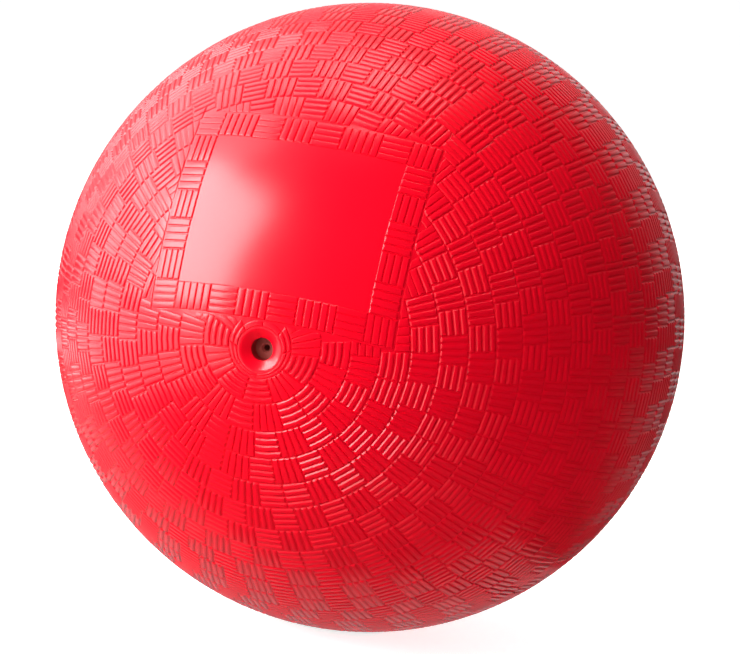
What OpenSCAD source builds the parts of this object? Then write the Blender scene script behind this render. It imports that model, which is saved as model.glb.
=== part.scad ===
// Moulded rubber playground ball.
// A red cover with a basket-weave skin is vulcanised over a butyl bladder.
// A flanged rubber valve is patched to the inside and holds a self-sealing core.
// The valve looks along -Y, and the smooth panel sits above it, towards +Z.

/* [Ball] */
// Diameter over the tops of the moulded weave
ball_d = 177.8; // [150:0.2:260]
// Height of the moulded weave above the smooth surface of the cover
weave_h = 0.4; // [0.2:0.1:0.8]
// Thickness of the cover under the weave
cover_wall = 1.2; // [0.8:0.1:3]
// Thickness of the bladder
bladder_wall = 0.7; // [0.4:0.1:2]
// Cement line between bonded faces
bond_line = 0.05; // [0.02:0.01:0.15]

/* [Smooth panel] */
// Width of the smooth panel in the weave
panel_w = 53; // [30:1:70]
// Height of the smooth panel in the weave
panel_h = 41; // [20:1:56]
// Distance along the surface from the valve to the panel's lower edge
panel_rise = 15.6; // [10:0.2:30]

/* [Valve opening] */
// Diameter of the funnel where it meets the outside
funnel_d = 12; // [10:0.5:15]
// Depth of the funnel below its own rim
funnel_depth = 2; // [1:0.1:2.4]
// Diameter of the throat that the needle passes
throat_d = 6; // [4.5:0.1:6.6]
// Diameter of the boss that fills the hole in the bladder
boss_d = 18; // [16:0.5:24]

/* [Valve body] */
// Diameter of the flange bonded inside the bladder
flange_d = 32; // [27:0.5:38]
// Thickness of the flange
flange_t = 1.2; // [0.8:0.1:2]
// Diameter of the barrel
barrel_d = 13; // [12:0.5:15]
// Thickness of the wall that closes the barrel
barrel_end = 1.6; // [1:0.1:3]

/* [Valve core] */
// Depth of the core's face below the outside of the ball
core_depth = 5.5; // [4.5:0.1:8]
// Diameter of the core
core_d = 7.4; // [7:0.1:8]
// Length of the core between its face and its shoulder
core_l = 6; // [5:0.1:9]
// Height of the ring that keeps the core in the barrel
keeper_h = 0.6; // [0.3:0.1:1]
// Width of the ring that keeps the core in the barrel
keeper_w = 1.4; // [1:0.1:2]
// Diameter of the nose below the shoulder
nose_d = 4; // [3.6:0.1:5]
// Length of the nose below the shoulder
nose_l = 4.4; // [4:0.1:6]
// Diameter of the needle hole
needle_d = 1.6; // [1.2:0.1:2]
// Length of the needle hole
needle_l = 7.6; // [6.6:0.1:8.4]
// Width of the lead-in at the mouth of the needle hole
lead_in = 0.5; // [0.3:0.1:0.8]
// Opening of the slit between the sealing lips
slit_gap = 0.12; // [0.06:0.02:0.2]
// Length of the slit across the nose
slit_l = 2.4; // [2:0.1:3]
// Thickness of the pair of lips at the tip of the nose
lip_t = 1.6; // [1.2:0.1:2.4]
// Clearance round the core
core_fit = 0.05; // [0.02:0.01:0.15]

/* [Patch] */
// Diameter of the patch that laps the flange onto the bladder
patch_d = 48; // [42:0.5:56]
// Thickness of the patch
patch_t = 0.6; // [0.4:0.1:1.2]

/* [Hidden] */
$fn = 180;
// Radii of the plies, from the outside in
ball_r = ball_d / 2;
base_r = ball_r - weave_h;
cover_in_r = base_r - cover_wall;
bladder_out_r = cover_in_r - bond_line;
bladder_in_r = bladder_out_r - bladder_wall;
flange_out_r = bladder_in_r - bond_line;
flange_in_r = flange_out_r - flange_t;
// Tilt of the panel's middle from the valve axis
panel_angle = (panel_rise + panel_h / 2) / base_r * 180 / PI;
// Levels along the valve axis
funnel_rim_z = sqrt(pow(ball_r, 2) - pow(funnel_d / 2, 2));
throat_top_z = funnel_rim_z - funnel_depth;
core_face_z = ball_r - core_depth;
core_shoulder_z = core_face_z - core_l;
socket_floor_z = core_shoulder_z - core_fit;
barrel_end_z = socket_floor_z - barrel_end;
nose_tip_z = core_shoulder_z - nose_l;
needle_end_z = core_face_z - needle_l;
keeper_z = (core_face_z + core_shoulder_z) / 2;
// Overshoot of a cut past the face that it opens
past = 1;

// Turns a shape drawn along +Z to the valve's own direction
module on_valve_axis() {
    rotate([90, 0, 0]) children();
}

// Spins the half of a flat profile that lies right of the valve axis
module spun() {
    rotate_extrude() intersection() {
        children();
        translate([0, -ball_d]) square(2 * ball_d);
    }
}

// Flat ring between two radii about the ball's centre
module ply(outer_r, inner_r) {
    difference() {
        circle(r = outer_r);
        circle(r = inner_r);
    }
}

// Part of a ply that lies within a radius of the valve axis
module ply_disc(outer_r, inner_r, disc_d) {
    intersection() {
        ply(outer_r, inner_r);
        translate([-disc_d / 2, 0]) square([disc_d, ball_r]);
    }
}

// Straight stretch along the valve axis between two levels
module stretch(d, low_z, high_z) {
    translate([-d / 2, low_z]) square([d, high_z - low_z]);
}

// Funnel and throat, cut from the outside through the boss
module valve_opening() {
    slope = (funnel_d - throat_d) / 2 / funnel_depth;
    wide_r = funnel_d / 2 + past * slope;
    polygon([
        [0, bladder_in_r - past],
        [throat_d / 2, bladder_in_r - past],
        [throat_d / 2, throat_top_z],
        [wide_r, funnel_rim_z + past],
        [0, funnel_rim_z + past]
    ]);
}

// Block over the panel that stops at the smooth surface
module panel_recess() {
    rotate([-panel_angle, 0, 0]) difference() {
        translate([-panel_w / 2, -panel_h / 2, cover_in_r / 2]) cube([panel_w, panel_h, ball_r]);
        sphere(r = base_r);
    }
}

// Red rubber cover with the funnel of the valve and the smooth panel
module outer_cover() {
    color("crimson") on_valve_axis() difference() {
        spun() difference() {
            union() {
                ply(ball_r, cover_in_r);
                ply_disc(base_r, bladder_in_r, boss_d);
            }
            valve_opening();
        }
        panel_recess();
    }
}

// Air-tight bladder with a hole for the boss of the cover
module bladder() {
    color("dimgray") on_valve_axis() spun() difference() {
        ply(bladder_out_r, bladder_in_r);
        stretch(boss_d + 2 * bond_line, 0, ball_r);
    }
}

// Flange and barrel, with a socket that the core is pushed into
module valve_body() {
    socket_d = core_d + 2 * core_fit;
    groove_d = socket_d + 2 * keeper_h;
    groove_half = keeper_w / 2 + core_fit;
    color("darkred") on_valve_axis() spun() difference() {
        union() {
            ply_disc(flange_out_r, flange_in_r, flange_d);
            intersection() {
                circle(r = flange_out_r);
                stretch(barrel_d, barrel_end_z, ball_r);
            }
        }
        stretch(throat_d, core_face_z, ball_r);
        stretch(socket_d, socket_floor_z, core_face_z + core_fit);
        stretch(groove_d, keeper_z - groove_half, keeper_z + groove_half);
        stretch(nose_d + 2 * core_fit, barrel_end_z - past, core_face_z);
    }
}

// Side cut that thins one side of the nose to its lip
module lip_cut() {
    slope = atan((nose_d - lip_t) / 2 / nose_l);
    intersection() {
        translate([-nose_d, 0, nose_tip_z - past]) cube([2 * nose_d, nose_d, nose_l + past]);
        translate([0, lip_t / 2, nose_tip_z]) rotate([-slope, 0, 0])
            translate([-nose_d, 0, -nose_l]) cube([2 * nose_d, nose_d, 3 * nose_l]);
    }
}

// Tan gum core with a keeper ring, a needle hole and closed lips
module valve_core() {
    color("tan") on_valve_axis() difference() {
        spun() difference() {
            union() {
                stretch(core_d, core_shoulder_z, core_face_z);
                stretch(core_d + 2 * keeper_h, keeper_z - keeper_w / 2, keeper_z + keeper_w / 2);
                stretch(nose_d, nose_tip_z, core_face_z);
            }
            stretch(needle_d, needle_end_z, core_face_z + past);
            polygon([
                [0, core_face_z - lead_in - needle_d / 2],
                [needle_d / 2 + lead_in + past, core_face_z + past],
                [0, core_face_z + past]
            ]);
        }
        for (side = [0, 180]) rotate(side) lip_cut();
        translate([-slit_l / 2, -slit_gap / 2, nose_tip_z - past])
            cube([slit_l, slit_gap, needle_end_z - nose_tip_z + 2 * past]);
    }
}

// Rubber patch, stepped over the flange and lapped onto the bladder
module valve_patch() {
    riser_d = flange_d + 2 * bond_line;
    over_r = flange_in_r - bond_line;
    color("black") on_valve_axis() spun() difference() {
        union() {
            ply_disc(flange_out_r, flange_out_r - patch_t, patch_d);
            ply_disc(flange_out_r, over_r - patch_t, riser_d + 2 * patch_t);
        }
        intersection() {
            difference() {
                circle(r = ball_r);
                circle(r = over_r);
            }
            stretch(riser_d, 0, ball_r);
        }
        stretch(barrel_d + 2 * bond_line, 0, ball_r);
    }
}

outer_cover();
bladder();
valve_body();
valve_core();
valve_patch();
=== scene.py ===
# %% [markdown]
# # A red rubber playground ball
#
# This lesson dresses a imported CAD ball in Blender. The CAD model gives the real sizes: a cover, a bladder,
# and a needle valve. Blender adds the moulded basket weave of the cover and the finish of the rubber.
# Everything is in metres, in the frame of the CAD model: the valve looks along -Y, and +Z is up.

import math

import bmesh
import bpy
from mathutils import Matrix, Vector
from mathutils.kdtree import KDTree


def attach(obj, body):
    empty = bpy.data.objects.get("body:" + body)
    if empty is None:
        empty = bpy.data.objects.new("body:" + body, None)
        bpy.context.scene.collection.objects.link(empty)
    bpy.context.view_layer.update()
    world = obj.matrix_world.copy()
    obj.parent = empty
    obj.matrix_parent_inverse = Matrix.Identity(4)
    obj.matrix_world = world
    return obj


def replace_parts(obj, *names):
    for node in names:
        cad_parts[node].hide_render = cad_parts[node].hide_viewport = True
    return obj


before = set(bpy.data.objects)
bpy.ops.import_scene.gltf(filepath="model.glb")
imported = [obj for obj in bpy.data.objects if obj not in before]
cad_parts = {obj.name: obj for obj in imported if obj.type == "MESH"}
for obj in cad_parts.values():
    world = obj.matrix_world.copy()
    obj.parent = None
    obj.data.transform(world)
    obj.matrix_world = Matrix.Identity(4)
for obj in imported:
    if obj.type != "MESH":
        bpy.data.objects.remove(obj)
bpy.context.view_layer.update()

# %% [markdown]
# ## Sizes
#
# The weave stands on a smooth ball, so two radii matter: the tops of the ribs, which the CAD model gives,
# and the smooth surface below them. Measuring the CAD mesh keeps the two models the same size.

# %% Measure the ball
MM = 0.001
cover_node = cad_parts["outer_cover"]
ball_r = max(vert.co.length for vert in cover_node.data.vertices)
weave_h = 0.4 * MM
base_r = ball_r - weave_h
cover_wall = 1.2 * MM
print(f"ball diameter {2 * ball_r / MM:.1f} mm, weave {weave_h / MM:.1f} mm high")

# %% [markdown]
# ## Camera
#
# A long lens from about a metre away flattens the ball as in the photograph. The camera could be moved by
# hand until it fits, but the view is easier to read as three angles: how far it swings round the ball,
# how high it looks from, and how far it leans. It aims a little below the centre of the ball, which sits
# above the middle of the picture.

# %% Place the camera
image_w = 740
sensor_w = 36
ball_px = 315
ball_above_middle_px = 9.4
swing = math.radians(18.0)
height_angle = math.radians(8.3)
lean = math.radians(7.2)
camera_far = 11.1 * ball_r

camera_turn = Matrix.Rotation(swing, 3, "Z") @ Matrix.Rotation(math.pi / 2 - height_angle, 3, "X")
camera_turn = camera_turn @ Matrix.Rotation(lean, 3, "Z")
focal_px = ball_px * math.sqrt(camera_far**2 - ball_r**2) / ball_r
drop = ball_above_middle_px * camera_far / focal_px

camera_data = bpy.data.cameras.new("camera")
camera_data.sensor_width = sensor_w
camera_data.lens = sensor_w * focal_px / image_w
camera = bpy.data.objects.new("camera", camera_data)
camera.rotation_euler = camera_turn.to_euler()
camera.location = camera_turn @ Vector((0, -drop, camera_far))
bpy.context.scene.collection.objects.link(camera)
bpy.context.scene.camera = camera
print(f"lens {camera_data.lens:.0f} mm at {camera_far:.2f} m")

# %% [markdown]
# ## How the weave is laid out
#
# The mould of the ball was cut in rings round one axis, from the valve to the back. Each ring is a row of
# square tiles, and each tile has four or five ribs. Tiles with ribs along the ring alternate with tiles
# whose ribs cross it. A ring holds a whole number of tiles, so here and there two tiles of the same kind
# meet. An image texture could not give these ribs a real edge, so each rib becomes a cell of a flat paving,
# and one operator raises all the cells at once.
#
# The rings could be listed as points. A pair of numbers for each border, its tilt and its angle from the
# valve, says the same and is easy to change.

# %% Borders of the rings
ring_step = math.radians(4.99)
first_border = math.radians(5.6)
axis_tilt = math.radians(1.34)
first_tilt = math.radians(0.7)
funnel_r = 6.2 * MM
back_spot = math.radians(1.2)
rings_per_half = 18

funnel_border = (0.0, math.asin(funnel_r / base_r))
borders = [(axis_tilt, first_border + ring_step * step) for step in range(rings_per_half - 1)]
parting = (axis_tilt, math.pi / 2)
back_borders = [(tilt, math.pi - angle) for tilt, angle in reversed(borders)]
back_border = (axis_tilt, math.pi - back_spot)
borders[0] = (first_tilt, first_border)
borders = [funnel_border] + borders + [parting] + back_borders + [back_border]
ring_count = len(borders) - 1
print(f"{ring_count} rings, {rings_per_half} on each half")

# %% Points on the rings


def on_ball(border, turn):
    """Point of the smooth ball on a border, at a turn to the left from straight up."""
    tilt, angle = border
    side = math.sin(angle)
    point = Vector((-side * math.sin(turn), -math.cos(angle), side * math.cos(turn)))
    return Matrix.Rotation(-tilt, 3, "X") @ point * base_r


def in_ring(ring, turn, share):
    """Point of the smooth ball a share of the way across a ring."""
    near = on_ball(borders[ring], turn)
    far = on_ball(borders[ring + 1], turn)
    return near.lerp(far, share).normalized() * base_r


def ring_width(ring, share):
    """Length round a ring, a share of the way across it."""
    angle = borders[ring][1] * (1 - share) + borders[ring + 1][1] * share
    return math.tau * base_r * math.sin(angle)


# %% Tiles of each ring
tile_w = 7.45 * MM
rib_pitch = 1.95 * MM
crossing_w = 1.1
# Turns, in degrees, where two tiles of the same kind meet, as seen on the ball
meetings = {
    1: [168], 2: [-140, 121], 4: [-98, 71, 130], 5: [-168], 6: [-114, 99], 7: [147],
    8: [-169, -107, -44, 90], 9: [35], 10: [-140, 145], 11: [-83, -42, 76], 13: [-109, -13], 14: [-9],
}
# Turns, in degrees, where a tile starts on a ring that alternates all the way round
starts = {3: -149, 12: -64, 15: -48, 16: -57, 17: -76}


def nearest_count(exact, odd):
    """Whole number of tiles nearest to an exact one, odd or even as the run needs."""
    return 2 * round((exact - odd) / 2) + odd


def ring_tiles(ring):
    """List of (start, end, crossing) for the tiles of a ring, in radians."""
    twin = min(ring, ring_count - 1 - ring)
    turned = 0 if ring == twin else 180
    tile_turn = math.degrees(math.tau * tile_w / ring_width(ring, 0.5))
    stops = meetings.get(twin, [])
    closed = not stops
    stops = [stop + turned for stop in (stops or [starts.get(twin, 0)])]
    tiles = []
    for start, end in zip(stops, stops[1:] + [stops[0] + 360]):
        count = max(nearest_count((end - start) / tile_turn, 0 if closed else 1), 4)
        sizes = [crossing_w if place % 2 else 1.0 for place in range(count)]
        at = start
        for place, size in enumerate(sizes):
            step = (end - start) * size / sum(sizes)
            tiles.append((math.radians(at), math.radians(at + step), bool(place % 2)))
            at += step
    return tiles


print("tiles:", sum(len(ring_tiles(ring)) for ring in range(1, ring_count)))

# %% [markdown]
# ## Laying the tiles
#
# A tile starts as a plain grid of one row of cells, and then every corner is moved to its place on the ball.
# A place function does the moving, so the same tile serves the rings and the border of the panel.
# A number on each face remembers which cells will become ribs.

# %% Lay a tile
# How far the straight edge of a cell may stray from its ring
bow = 0.1 * MM
# How far, in ribs, a grid line may lie from the line between two ribs
line_slack = 0.1


def is_spare(edge, ribs, crossing):
    """True for an inner edge of a grid that doesn't part two ribs."""
    if edge.is_boundary:
        return False
    middle = (edge.verts[0].co + edge.verts[1].co) / 2
    line = ((middle.x if crossing else middle.y) + 0.5) * ribs
    return abs(line - round(line)) > line_slack


def lay_tile(bm, ribs, crossing, place, pieces=1):
    """Adds one tile of flat cells; place turns two shares, across and up, into a point."""
    rib = bm.faces.layers.int["rib"]
    columns, rows = (2 * ribs, pieces) if crossing else (pieces, 2 * ribs)
    corners = bmesh.ops.create_grid(bm, x_segments=columns, y_segments=rows, size=0.5)["verts"]
    edges = dict.fromkeys(edge for vert in corners for edge in vert.link_edges)
    spare = [edge for edge in edges if is_spare(edge, ribs, crossing)]
    bmesh.ops.dissolve_edges(bm, edges=spare, use_verts=False)
    corners = [vert for vert in corners if vert.is_valid]
    for face in {face for vert in corners for face in vert.link_faces}:
        face[rib] = 1
    for vert in corners:
        vert.co = place(vert.co.x + 0.5, vert.co.y + 0.5)


def lay_ring(bm, ring):
    """Lays the tiles of one ring, each from its end to its start, so that faces look outwards."""
    bend_r = min(ring_width(ring, 0), ring_width(ring, 1)) / math.tau
    longest = math.sqrt(8 * bend_r * bow)
    for start, end, crossing in ring_tiles(ring):
        width = ring_width(ring, 0.5) * (end - start) / math.tau
        ribs = max(3, round(width / rib_pitch)) if crossing else 4
        pieces = 1 if crossing else max(1, round(width / longest))

        def place(across, up, start=start, end=end):
            return in_ring(ring, end + (start - end) * across, up)

        lay_tile(bm, ribs, crossing, place, pieces)


# %% Lay the rings
cover = bmesh.new()
cover.faces.layers.int.new("rib")
for ring in range(1, ring_count):
    lay_ring(cover, ring)
print(f"{len(cover.faces)} rib cells on the rings")

# %% [markdown]
# ## Pleats round the valve
#
# The first ring is squeezed between the round funnel and the weave, so its ribs run round the funnel
# and crowd together below it, like pleats. It is laid as one row of long tiles with two ribs.

# %% Lay the pleats
pleat_tiles = 8
pleat_ribs = 2
pleat_pieces = 3
for tile in range(pleat_tiles):
    end = math.tau * (tile + 1) / pleat_tiles
    start = math.tau * tile / pleat_tiles

    def place(across, up, start=start, end=end):
        return in_ring(0, end + (start - end) * across, up)

    lay_tile(cover, pleat_ribs, False, place, pleat_pieces)
print(f"{pleat_tiles * pleat_ribs} pleat cells")

# %% [markdown]
# ## The smooth panel and its border
#
# Above the valve the mould has a smooth rectangle, with one row of tiles all round it that follows the
# rectangle and not the rings. The rings are cut along the outside of that row. A Boolean could do it, but
# the paving is an open sheet, and four plane cuts on the few faces that reach in are exact and quick.
# The cuts leave a moat as wide as a hair, which is zipped up with triangles once all tiles are joined.

# %% Place of the panel
panel_w = 53 * MM
panel_h = 41 * MM
panel_rise = 15.6 * MM
border_w = 7.3 * MM
panel_angle = (panel_rise + panel_h / 2) / base_r
panel_turn = Matrix.Rotation(-panel_angle, 3, "X")
panel_out = panel_turn @ Vector((0, -1, 0))
panel_right = Vector((1, 0, 0))
panel_up = panel_turn @ Vector((0, 0, 1))
reach_x = panel_w / 2 + border_w
reach_y = panel_h / 2 + border_w


def on_panel(x, y):
    """Point of the smooth ball at a place right of and above the middle of the panel."""
    depth = math.sqrt(base_r**2 - x**2 - y**2)
    return panel_right * x + panel_up * y + panel_out * depth


def in_border(point, slack=0.0):
    """True where a point lies within the outside of the panel's border."""
    if point.dot(panel_out) < 0:
        return False
    return abs(point.dot(panel_right)) < reach_x - slack and abs(point.dot(panel_up)) < reach_y - slack


# %% Cut the rings along the border
hair = 0.01 * MM
moat = 0.3 * MM
cut_x = reach_x + moat
cut_y = reach_y + moat


def reaches_in(face):
    """True where a corner, the middle of an edge or the middle of a face lies within the cuts."""
    spots = [face.calc_center_median()]
    spots += [vert.co for vert in face.verts]
    spots += [(edge.verts[0].co + edge.verts[1].co) / 2 for edge in face.edges]
    return any(in_border(spot, hair - moat) for spot in spots)


def cell_room(face):
    """Mean width of a cell."""
    longest = max((a.co - b.co).length for a in face.verts for b in face.verts)
    return face.calc_area() / longest


def is_cut(face):
    """True for a cell that a cut has shortened."""
    return any(in_border(vert.co, -moat - hair) for vert in face.verts)


def parts_of(faces):
    """Corners, edges and faces of a list of faces, each once and in order."""
    edges = dict.fromkeys(edge for face in faces for edge in face.edges)
    verts = dict.fromkeys(vert for face in faces for vert in face.verts)
    return list(verts) + list(edges) + faces


for side in (panel_right * cut_x, -panel_right * cut_x, panel_up * cut_y, -panel_up * cut_y):
    sheet = parts_of([face for face in cover.faces if reaches_in(face)])
    bmesh.ops.bisect_plane(cover, geom=sheet, dist=hair, plane_co=side, plane_no=side.normalized())
hidden = [face for face in cover.faces if in_border(face.calc_center_median(), hair - moat)]
bmesh.ops.delete(cover, geom=hidden, context="FACES")
tips = [vert for vert in cover.verts if in_border(vert.co, -2 * moat)]
bmesh.ops.remove_doubles(cover, verts=tips, dist=moat)
print(f"{len(hidden)} cells made way for the panel")

# %% Lay the border and the panel
wide_share = 1.3
row_sizes = [wide_share, 1, 1.1, 1, wide_share, 1]
row_steps = [panel_w * size / sum(row_sizes) for size in row_sizes]
row_x = [-reach_x, -panel_w / 2]
for step in row_steps:
    row_x.append(row_x[-1] + step)
row_x.append(reach_x)
column_tiles = 5
column_y = [panel_h * (step / column_tiles - 0.5) for step in range(column_tiles + 1)]


def lay_border_tile(x0, x1, y0, y1, crossing):
    """Lays one tile of the border between two places right of and two above the panel's middle."""
    ribs = round((x1 - x0) / rib_pitch) if crossing else 4

    def place(across, up):
        return on_panel(x0 + (x1 - x0) * across, y0 + (y1 - y0) * up)

    lay_tile(cover, ribs, crossing, place)


for spot, (x0, x1) in enumerate(zip(row_x, row_x[1:])):
    lay_border_tile(x0, x1, panel_h / 2, reach_y, bool(spot % 2))
    lay_border_tile(x0, x1, -reach_y, -panel_h / 2, bool(spot % 2))
for spot, (y0, y1) in enumerate(zip(column_y, column_y[1:])):
    lay_border_tile(-reach_x, -panel_w / 2, y0, y1, not spot % 2)
    lay_border_tile(panel_w / 2, reach_x, y0, y1, bool(spot % 2))

panel_columns = 26
panel_rows = 20
patch = bmesh.ops.create_grid(cover, x_segments=panel_columns, y_segments=panel_rows, size=0.5)["verts"]
for vert in patch:
    vert.co = on_panel(vert.co.x * panel_w, vert.co.y * panel_h)
border_tiles = 2 * len(row_x) + 2 * column_tiles - 2
print(f"panel {panel_w / MM:.0f} x {panel_h / MM:.0f} mm with {border_tiles} tiles round it")

# %% [markdown]
# ## Raising the ribs
#
# A rib is a low ridge with sloping flanks and a gentle crown. Each could be swept along a line, but thousands
# of sweeps are slow to make and hard to join. Four insets raise it from a flat cell instead: the first leaves
# a gap round it, the second climbs the flank, and the last two shape the crown. After the first one, the
# middle of each end is pushed forward, which rounds the ends for no extra faces. Cells that the border or
# the funnel cut short get slimmer ribs, and slivers stay flat.

# %% Sort the cells by their room
rib = cover.faces.layers.int["rib"]
# Share of the full size of each kind of rib, and the least room, in rib pitches, that it takes
slimness = {1: 1.0, 2: 0.88, 3: 0.7, 4: 0.5, 5: 0.38}
least_room = {1: 0.89, 2: 0.79, 3: 0.63, 4: 0.46, 5: 0.34}
# Sharpest corner, and loss of room to a slanted cut, of a cut cell that still gets a rib
acute = math.radians(24)
cut_loss = 0.15


def rib_size(face):
    """Key of the rib that fits the narrow end of a cell, or 0 for a sliver."""
    shortest = min(edge.calc_length() for edge in face.edges)
    if is_cut(face):
        sharpest = min(loop.calc_angle() for loop in face.loops)
        if sharpest < acute or shortest < moat:
            return 0
        room = min(cell_room(face) / rib_pitch - cut_loss, least_room[1])
    else:
        room = 2 * shortest / rib_pitch
    return next((size for size, least in least_room.items() if room > least), 0)


for face in cover.faces:
    if face[rib]:
        face[rib] = rib_size(face)
print("cells by size:", {key: sum(face[rib] == key for face in cover.faces) for key in (0, *slimness)})

# %% Raise the ribs
gap = 0.14 * MM
end_lead = 0.1 * MM
# Width and height of each step up: the flank, the shoulder and the crown
climb = ((0.34 * MM, 0.33 * MM), (0.18 * MM, 0.05 * MM), (0.12 * MM, weave_h - 0.38 * MM))
straight = math.radians(165)
half_end = rib_pitch * 0.45


def round_ends(faces, lead):
    """Pushes the middle of each end of a foot forward along the rib."""
    moves = {}
    for face in faces:
        middle = face.calc_center_median()
        for loop in face.loops:
            here = loop.vert.co
            before, after = loop.link_loop_prev.vert.co, loop.link_loop_next.vert.co
            at_end = max((before - here).length, (after - here).length) < half_end
            if at_end and loop.calc_angle() > straight:
                ahead = face.normal.cross(after - before).normalized()
                moves[loop.vert] = ahead * math.copysign(lead, ahead.dot(here - middle))
    for vert, move in moves.items():
        vert.co += move


for size, slim in slimness.items():
    cells = [face for face in cover.faces if face[rib] == size]
    whole = size == 1
    bmesh.ops.inset_individual(cover, faces=cells, thickness=gap * slim, use_even_offset=whole)
    round_ends(cells, end_lead * slim)
    for width, height in climb:
        bmesh.ops.inset_individual(
            cover, faces=cells, thickness=width * slim, depth=height * slim, use_even_offset=whole
        )
    print(f"{len(cells)} ribs at {slim:.2f} of the full size")

# %% [markdown]
# ## Funnel and inside wall
#
# A smooth funnel leads the needle into the valve. Behind it, a boss fills the hole in the bladder, and the
# wall goes on round the inside of the ball. All of that is round about the valve axis, so one profile is
# spun. The arc of the wall comes from a first spin, of a single corner, and bevels soften the funnel's edges.

# %% Spin the funnel and the wall
bladder_in_r = min(vert.co.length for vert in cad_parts["bladder"].data.vertices)
wall_steps = 22
wall_r = (base_r - cover_wall) / math.cos(math.pi / 2 / wall_steps)
cad_funnel_r = 6 * MM
mouth_r = 5.44 * MM
throat_r = 3 * MM
throat_depth = 2 * MM
boss_r = 9 * MM
spin_steps = 80


def level_at(radius, ball):
    """Level along the valve axis of a ball's surface, at a distance from the axis."""
    return math.sqrt(ball**2 - radius**2)


def is_turned(vert):
    """True for a corner of the spun funnel and wall."""
    return vert.co.length < base_r - 2 * hair or vert.co.xz.length < funnel_r + hair


throat_level = level_at(cad_funnel_r, ball_r) - throat_depth
profile = [
    (funnel_r, level_at(funnel_r, base_r)),
    (mouth_r, level_at(mouth_r, base_r)),
    (throat_r, throat_level),
    (throat_r, level_at(throat_r, bladder_in_r)),
    (boss_r, level_at(boss_r, bladder_in_r)),
    (boss_r, level_at(boss_r, wall_r)),
]
outline = [cover.verts.new((0, -level, radius)) for radius, level in profile]
for pair in zip(outline, outline[1:]):
    cover.edges.new(pair)
wall_turn = math.pi - math.asin(boss_r / wall_r)
bmesh.ops.spin(
    cover, geom=[outline[-1]], cent=(0, 0, 0), axis=(-1, 0, 0), angle=wall_turn, steps=wall_steps,
    use_merge=False, use_duplicate=False,
)
wire = [edge for edge in cover.edges if edge.is_wire]
corners = list(dict.fromkeys(vert for edge in wire for vert in edge.verts))
bmesh.ops.spin(
    cover, geom=corners + wire, cent=(0, 0, 0), axis=(0, 1, 0), angle=math.tau, steps=spin_steps,
    use_merge=True, use_duplicate=False,
)
bmesh.ops.remove_doubles(cover, verts=[vert for vert in cover.verts if is_turned(vert)], dist=hair)
print(f"funnel {2 * mouth_r / MM:.1f} mm wide, throat {2 * throat_r / MM:.1f} mm wide")

# %% Soften the funnel
mouth_soft = 0.45 * MM
throat_soft = 0.15 * MM


def on_circle(vert, radius, level):
    """True for a corner at a distance from the valve axis and a level along it."""
    return abs(vert.co.xz.length - radius) < hair and abs(vert.co.y + level) < hair


def circle_edges(bm, radius, level):
    """Edges of the circle at a distance from the valve axis and a level along it."""
    return [edge for edge in bm.edges if all(on_circle(vert, radius, level) for vert in edge.verts)]


for (radius, level), soft in ((profile[1], mouth_soft), (profile[2], throat_soft)):
    ring = circle_edges(cover, radius, level)
    bmesh.ops.bevel(
        cover, geom=ring, offset=soft, offset_type="OFFSET", segments=3, profile=0.5, affect="EDGES",
        clamp_overlap=True, material=-1,
    )
    print(f"softened {len(ring)} edges at {radius / MM:.1f} mm")

# %% [markdown]
# ## Joining the tiles
#
# Each tile is still a sheet of its own, and where rows are offset, a corner meets a neighbour's edge part
# of the way along. Merging by distance alone would leave cracks. So each open edge is first split where
# a neighbour's corner lies on it, and only then are the doubles merged.

# %% Join the tiles
near = 0.12 * MM
on_edge = 0.2 * MM
slant = 0.35
crack_sides = 8


def open_edges(bm):
    """Edges with a face on one side only."""
    return [edge for edge in bm.edges if edge.is_boundary]


def open_verts(bm):
    """Corners of the open edges."""
    return list(dict.fromkeys(vert for edge in open_edges(bm) for vert in edge.verts))


def split_at(edge, spots):
    """Splits an edge at the given spots, which are (distance from its first corner, place) pairs."""
    first = edge.verts[0]
    for distance, place in sorted(spots, key=lambda spot: spot[0], reverse=True):
        vert = bmesh.utils.edge_split(edge, first, 0.5)[1]
        vert.co = place
        edge = next(part for part in vert.link_edges if part.other_vert(vert) is first)


def join_tiles(bm):
    """Splits open edges at the corners that lie on them, and merges what then matches."""
    bmesh.ops.remove_doubles(bm, verts=open_verts(bm), dist=near)
    corners = open_verts(bm)
    tree = KDTree(len(corners))
    for index, vert in enumerate(corners):
        tree.insert(vert.co, index)
    tree.balance()
    for edge in open_edges(bm):
        start, end = (vert.co.copy() for vert in edge.verts)
        length = (end - start).length
        along = (end - start) / length
        spots = []
        for place, index, distance in tree.find_range((start + end) / 2, length / 2 + on_edge):
            travel = (place - start).dot(along)
            aside = (place - start - along * travel).length
            if aside < min(on_edge, slant * travel, slant * (length - travel)):
                spots.append((travel, place))
        split_at(edge, spots)
    bmesh.ops.remove_doubles(bm, verts=open_verts(bm), dist=hair)


join_tiles(cover)
cracks = bmesh.ops.holes_fill(cover, edges=open_edges(cover), sides=crack_sides)["faces"]
print(f"{len(cracks)} cracks filled, {len(open_edges(cover))} open edges left")

# %% Zip up the moat
notch = math.radians(60)


def take_loop(edges):
    """Takes one closed loop out of a list of open edges and gives its corners, leftwards round the panel."""
    edge = edges.pop(0)
    loop = list(edge.verts)
    while True:
        edge = next(item for item in edges if loop[-1] in item.verts)
        edges.remove(edge)
        vert = edge.other_vert(loop[-1])
        if vert is loop[0]:
            break
        loop.append(vert)
    spots = [(vert.co.dot(panel_right), vert.co.dot(panel_up)) for vert in loop]
    area = sum(a[0] * b[1] - a[1] * b[0] for a, b in zip(spots, spots[1:] + spots[:1]))
    if area < 0:
        loop.reverse()
        spots.reverse()
    first = min(range(len(loop)), key=lambda place: math.atan2(spots[place][1], spots[place][0]))
    return loop[first:] + loop[:first]


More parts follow.
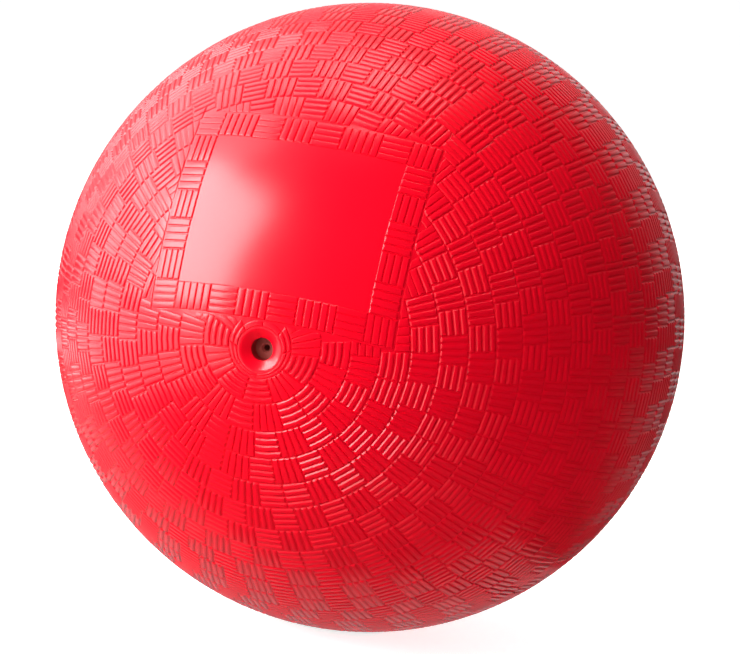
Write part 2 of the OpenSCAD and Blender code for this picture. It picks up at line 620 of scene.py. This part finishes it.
def clip_spikes(bm, loop):
    """Closes the narrow notches of a loop with a triangle each, and gives the loop without them."""
    kept = []
    for place, vert in enumerate(loop):
        before = kept[-1] if kept else loop[-1]
        after = loop[(place + 1) % len(loop)]
        if (before.co - vert.co).angle(after.co - vert.co) < notch:
            bm.faces.new((before, vert, after))
        else:
            kept.append(vert)
    return kept


def zip_loops(bm, outer, inner):
    """Closes the strip between two loops with triangles, each time along the shorter diagonal."""
    out_at = in_at = 0
    while out_at < len(outer) or in_at < len(inner):
        here, there = outer[out_at % len(outer)], inner[in_at % len(inner)]
        next_out, next_in = outer[(out_at + 1) % len(outer)], inner[(in_at + 1) % len(inner)]
        shorter = (next_out.co - there.co).length < (next_in.co - here.co).length
        if in_at == len(inner) or (out_at < len(outer) and shorter):
            bm.faces.new((here, next_out, there))
            out_at += 1
        else:
            bm.faces.new((here, next_in, there))
            in_at += 1


moat_edges = [edge for edge in open_edges(cover) if edge.verts[0].co.y < 0]
moat_loops = []
while moat_edges:
    moat_loops.append(take_loop(moat_edges))
moat_loops.sort(key=len, reverse=True)
print("loops round the moat:", [len(loop) for loop in moat_loops])
zip_loops(cover, clip_spikes(cover, moat_loops[0]), clip_spikes(cover, moat_loops[1]))
for loop in moat_loops[2:]:
    cover.faces.new(loop)

# %% Close the spot at the back
back_reach = 3 * MM
spot_rim = 0.5 * MM
spot_depth = 0.2 * MM
back_middle = on_ball((axis_tilt, math.pi), 0)
back_hole = [edge for edge in open_edges(cover) if (edge.verts[0].co - back_middle).length < back_reach]
spot = bmesh.ops.edgeloop_fill(cover, edges=back_hole)["faces"]
bmesh.ops.recalc_face_normals(cover, faces=cover.faces)
bmesh.ops.inset_region(cover, faces=spot, thickness=spot_rim, depth=-spot_depth, use_even_offset=True)
print(f"closed {len(back_hole)} edges at the back, {len(open_edges(cover))} open edges left")

# %% [markdown]
# ## Two halves
#
# The ball is moulded in two halves that are cured together, with the parting line midway between valve and
# back. One mesh of the whole cover would be heavy, so it is kept as the two mouldings. Each is a closed
# shell: the inside wall is cut on the parting plane, and a bridge joins the two open loops.

# %% Part the cover
crease = math.radians(24)
parting_out = Matrix.Rotation(-axis_tilt, 3, "X") @ Vector((0, -1, 0))
wall_faces = [face for face in cover.faces if face.calc_center_median().length < (wall_r + base_r) / 2]
bmesh.ops.bisect_plane(cover, geom=parts_of(wall_faces), dist=hair, plane_co=(0, 0, 0), plane_no=parting_out)


def add_piece(name, bm):
    """Makes a smooth-shaded object from a bmesh, riding on the ball's one body."""
    mesh = bpy.data.meshes.new(name)
    bm.to_mesh(mesh)
    bm.free()
    mesh.shade_smooth()
    mesh.set_sharp_from_angle(angle=crease)
    piece = bpy.data.objects.new(name, mesh)
    bpy.context.scene.collection.objects.link(piece)
    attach(piece, "root")
    triangles = sum(len(polygon.vertices) - 2 for polygon in mesh.polygons)
    print(f"{name}: {len(mesh.polygons)} faces, {triangles} triangles")
    return piece


def half_cover(name, side):
    """Keeps the half of the cover on one side of the parting plane and closes it."""
    half = cover.copy()
    other = [face for face in half.faces if face.calc_center_median().dot(parting_out) * side < 0]
    bmesh.ops.delete(half, geom=other, context="FACES")
    bmesh.ops.bridge_loops(half, edges=open_edges(half))
    bmesh.ops.recalc_face_normals(half, faces=half.faces)
    rubber_mm3 = half.calc_volume() / MM**3
    print(f"{name}: {len(open_edges(half))} open edges, {rubber_mm3:.0f} cubic mm of rubber")
    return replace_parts(add_piece(name, half), "outer_cover")


cover_front = half_cover("cover_front", 1)
cover_back = half_cover("cover_back", -1)
cover.free()

# %% [markdown]
# ## Rubber
#
# Moulded rubber is never one flat colour: it has a fine grain from the mould, and cloudy patches where the
# mix or the gloss varies. All five rubbers of the ball share these two effects, so they are one node group
# with its own values in each material. The patterns read Object coordinates, so they stick to the ball.

# %% Grain of the rubber


def rubber_grain_group():
    """Node group that turns Object coordinates into a grain height and a cloudy mask."""
    group = bpy.data.node_groups.new("rubber_grain", "ShaderNodeTree")
    group.interface.new_socket("Vector", in_out="INPUT", socket_type="NodeSocketVector")
    for name in ("Grain Scale", "Cloud Scale"):
        group.interface.new_socket(name, in_out="INPUT", socket_type="NodeSocketFloat")
    for name in ("Height", "Cloud"):
        group.interface.new_socket(name, in_out="OUTPUT", socket_type="NodeSocketFloat")
    nodes, links = group.nodes, group.links
    source = nodes.new("NodeGroupInput")
    sink = nodes.new("NodeGroupOutput")
    grain = nodes.new("ShaderNodeTexNoise")
    grain.inputs["Detail"].default_value = 3
    cloud = nodes.new("ShaderNodeTexNoise")
    cloud.inputs["Detail"].default_value = 4
    for noise, scale in ((grain, "Grain Scale"), (cloud, "Cloud Scale")):
        links.new(source.outputs["Vector"], noise.inputs["Vector"])
        links.new(source.outputs[scale], noise.inputs["Scale"])
    links.new(grain.outputs["Fac"], sink.inputs["Height"])
    links.new(cloud.outputs["Fac"], sink.inputs["Cloud"])
    return group


rubber_grain = rubber_grain_group()
print("node group:", rubber_grain.name)

# %% Rubber materials
gloss_drift = 0.05
grain_h = 0.02 * MM


def rubber(name, dark, light, rough, grain_scale, cloud_scale, bump):
    """Rubber whose colour and gloss drift between two values, with a fine moulded grain."""
    material = bpy.data.materials.new(name)
    material.use_nodes = True
    nodes, links = material.node_tree.nodes, material.node_tree.links
    shader = nodes["Principled BSDF"]
    place = nodes.new("ShaderNodeTexCoord")
    grain = nodes.new("ShaderNodeGroup")
    grain.node_tree = rubber_grain
    grain.inputs["Grain Scale"].default_value = grain_scale
    grain.inputs["Cloud Scale"].default_value = cloud_scale
    links.new(place.outputs["Object"], grain.inputs["Vector"])
    colour = nodes.new("ShaderNodeMix")
    colour.data_type = "RGBA"
    colour.inputs["A"].default_value = dark + (1,)
    colour.inputs["B"].default_value = light + (1,)
    links.new(grain.outputs["Cloud"], colour.inputs["Factor"])
    links.new(colour.outputs["Result"], shader.inputs["Base Color"])
    gloss = nodes.new("ShaderNodeMapRange")
    gloss.inputs["To Min"].default_value = rough - gloss_drift
    gloss.inputs["To Max"].default_value = rough + gloss_drift
    links.new(grain.outputs["Cloud"], gloss.inputs["Value"])
    links.new(gloss.outputs["Result"], shader.inputs["Roughness"])
    relief = nodes.new("ShaderNodeBump")
    relief.inputs["Strength"].default_value = bump
    relief.inputs["Distance"].default_value = grain_h
    links.new(grain.outputs["Height"], relief.inputs["Height"])
    links.new(relief.outputs["Normal"], shader.inputs["Normal"])
    return material


cover_red = rubber(
    "cover_red", dark=(0.76, 0.001, 0.012), light=(0.84, 0.001, 0.016),
    rough=0.25, grain_scale=2600, cloud_scale=28, bump=0.5,
)
bladder_black = rubber(
    "bladder_black", dark=(0.022, 0.022, 0.024), light=(0.04, 0.04, 0.042),
    rough=0.6, grain_scale=1500, cloud_scale=40, bump=0.6,
)
valve_red = rubber(
    "valve_red", dark=(0.26, 0.004, 0.01), light=(0.34, 0.006, 0.014),
    rough=0.45, grain_scale=2600, cloud_scale=150, bump=0.5,
)
# The core's gum is tan, but it is set darker and redder here. That is painted shade and painted red bounce
# light for its place deep in the valve hole.
gum_with_painted_shade = rubber(
    "gum_with_painted_shade", dark=(0.24, 0.035, 0.028), light=(0.34, 0.06, 0.048),
    rough=0.5, grain_scale=3000, cloud_scale=400, bump=0.6,
)
patch_black = rubber(
    "patch_black", dark=(0.03, 0.03, 0.032), light=(0.05, 0.05, 0.052),
    rough=0.65, grain_scale=1800, cloud_scale=60, bump=0.7,
)
finishes = {
    "bladder": bladder_black, "valve_body": valve_red, "valve_core": gum_with_painted_shade, "valve_patch": patch_black,
}
for piece in (cover_front, cover_back):
    piece.data.materials.append(cover_red)
for node, finish in finishes.items():
    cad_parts[node].data.materials[0] = finish
print("finished:", [material.name for material in bpy.data.materials])

# %% [markdown]
# ## Floor, light and background
#
# The photograph is a studio shot on white: a big soft light on the left, another above, and white all round.
# Turning the lamps up until the floor clips would also bleach the ball. So the floor is pale and glows a
# little for the camera alone, which makes it white but keeps the shadow of the ball. For all other rays it
# is dark, because a pale floor would show in the gloss of the rubber and turn its red to pink.
#
# The lamps have three jobs. A softbox gives light and a reflection. A fill gives light but doesn't show in
# the gloss. A sheen shows in the gloss alone, where the photograph has a bright edge or pale ribs.

# %% Floor
floor_reach = 15
floor_pale = (0.8, 0.8, 0.8, 1)
floor_dark = (0.03, 0.03, 0.03, 1)
floor_glow = 0.8
floor_mesh = bpy.data.meshes.new("floor")
floor_bm = bmesh.new()
bmesh.ops.create_grid(
    floor_bm, x_segments=1, y_segments=1, size=floor_reach, matrix=Matrix.Translation((0, 0, -ball_r))
)
floor_bm.to_mesh(floor_mesh)
floor_bm.free()
floor = bpy.data.objects.new("floor", floor_mesh)
bpy.context.scene.collection.objects.link(floor)

floor_white = bpy.data.materials.new("floor_white")
floor_white.use_nodes = True
nodes, links = floor_white.node_tree.nodes, floor_white.node_tree.links
paint = nodes["Principled BSDF"]
paint.inputs["Roughness"].default_value = 0.9
paint.inputs["Specular IOR Level"].default_value = 0.0
paint.inputs["Emission Color"].default_value = (1, 1, 1, 1)
light_path = nodes.new("ShaderNodeLightPath")
tone = nodes.new("ShaderNodeMix")
tone.data_type = "RGBA"
tone.inputs["A"].default_value = floor_dark
tone.inputs["B"].default_value = floor_pale
links.new(light_path.outputs["Is Camera Ray"], tone.inputs["Factor"])
links.new(tone.outputs["Result"], paint.inputs["Base Color"])
glow = nodes.new("ShaderNodeMath")
glow.operation = "MULTIPLY"
glow.inputs[1].default_value = floor_glow
links.new(light_path.outputs["Is Camera Ray"], glow.inputs[0])
links.new(glow.outputs[0], paint.inputs["Emission Strength"])
floor_mesh.materials.append(floor_white)
print("floor at", round(-ball_r, 4))

# %% World
room_dim = 0.03
room_bright = 0.7
world = bpy.data.worlds.new("studio")
bpy.context.scene.world = world
world.use_nodes = True
nodes, links = world.node_tree.nodes, world.node_tree.links
far_wall = camera_turn @ Vector((-0.5, 0.5, -0.7)).normalized()
sky = nodes["Background"]
sky.inputs["Color"].default_value = (1, 1, 1, 1)
light_path = nodes.new("ShaderNodeLightPath")
place = nodes.new("ShaderNodeTexCoord")
facing = nodes.new("ShaderNodeVectorMath")
facing.operation = "DOT_PRODUCT"
facing.inputs[1].default_value = far_wall
links.new(place.outputs["Generated"], facing.inputs[0])
room = nodes.new("ShaderNodeMapRange")
room.interpolation_type = "SMOOTHSTEP"
room.inputs["From Min"].default_value = 0.1
room.inputs["From Max"].default_value = 0.85
room.inputs["To Min"].default_value = room_dim
room.inputs["To Max"].default_value = room_bright
links.new(facing.outputs["Value"], room.inputs["Value"])
seen = nodes.new("ShaderNodeMix")
seen.inputs["B"].default_value = 1.0
links.new(light_path.outputs["Is Camera Ray"], seen.inputs["Factor"])
links.new(room.outputs["Result"], seen.inputs["A"])
links.new(seen.outputs["Result"], sky.inputs["Strength"])
bpy.context.scene.view_settings.view_transform = "Standard"
print("white background, bright towards", [round(share, 2) for share in far_wall])

# %% Lamps


def lamp(name, width, height, power, sheen=True, fill=True):
    """Rectangular lamp that the camera doesn't see; it gives sheen, fill or both."""
    data = bpy.data.lights.new(name, "AREA")
    data.shape = "RECTANGLE"
    data.size = width
    data.size_y = height
    data.energy = power
    data.cycles.use_multiple_importance_sampling = sheen
    box = bpy.data.objects.new(name, data)
    box.visible_camera = False
    box.visible_glossy = sheen
    box.visible_diffuse = fill
    bpy.context.scene.collection.objects.link(box)
    print(f"{name}: {power} W, {width} x {height} m")
    return box


def softbox(name, direction, distance, width, height, power, **looks):
    """Lamp placed as right, up and near from the camera's side, that faces the ball."""
    box = lamp(name, width, height, power, **looks)
    box.location = (camera_turn @ Vector(direction)).normalized() * distance
    box.rotation_euler = box.location.to_track_quat("Z", "Y").to_euler()


# Name, direction, distance, width and height in metres, and power in watts
softbox("left_softbox", (-0.85, 0.4, 0.38), 1.0, 0.65, 0.75, 17)
softbox("back_softbox", (-0.92, 0.3, -0.25), 1.0, 0.6, 0.7, 5)
softbox("upper_softbox", (-0.6, 0.75, -0.2), 1.0, 1.0, 0.8, 6, fill=False)
softbox("top_softbox", (0, 0.99, 0), 1.0, 0.5, 0.5, 3)
softbox("front_fill", (-0.35, 0.12, 0.93), 1.2, 0.9, 0.9, 8.3, sheen=False)
softbox("top_fill", (0, 1, 0.2), 1.2, 0.9, 0.9, 4, sheen=False)
softbox("right_fill", (0.7, 0.25, 0.67), 1.2, 0.9, 0.9, 1.6, sheen=False)
softbox("right_rim", (0.55, 0.2, -0.85), 1.0, 0.7, 0.8, 0.5, fill=False)
softbox("back_fill", (0.3, 0.3, -0.9), 1.2, 0.9, 0.9, 5, sheen=False)

# %% Light from the floor


def floor_lamp(name, right, near, width, depth, power, **looks):
    """Lamp that lies on the floor, facing up, at a place right of the ball and nearer to the camera."""
    box = lamp(name, width, depth, power, **looks)
    box.location = Matrix.Rotation(swing, 3, "Z") @ Vector((right, -near, MM - ball_r))
    box.rotation_euler = (math.pi, 0, swing)


# Name, place right of the ball and nearer, width and depth in metres, and power in watts
floor_lamp("left_sheen", -0.485, 0.1, 0.53, 0.8, 3.2, fill=False)
floor_lamp("front_sheen", -0.1, 0.11, 0.4, 0.1, 0.012, fill=False)
floor_lamp("under_sheen", -0.07, -0.04, 0.3, 0.2, 0.1, fill=False)
floor_lamp("right_sheen", 0.39, -0.32, 0.62, 0.58, 0.16, fill=False)
floor_lamp("floor_fill", -0.45, 0, 1.5, 1.5, 4, sheen=False)
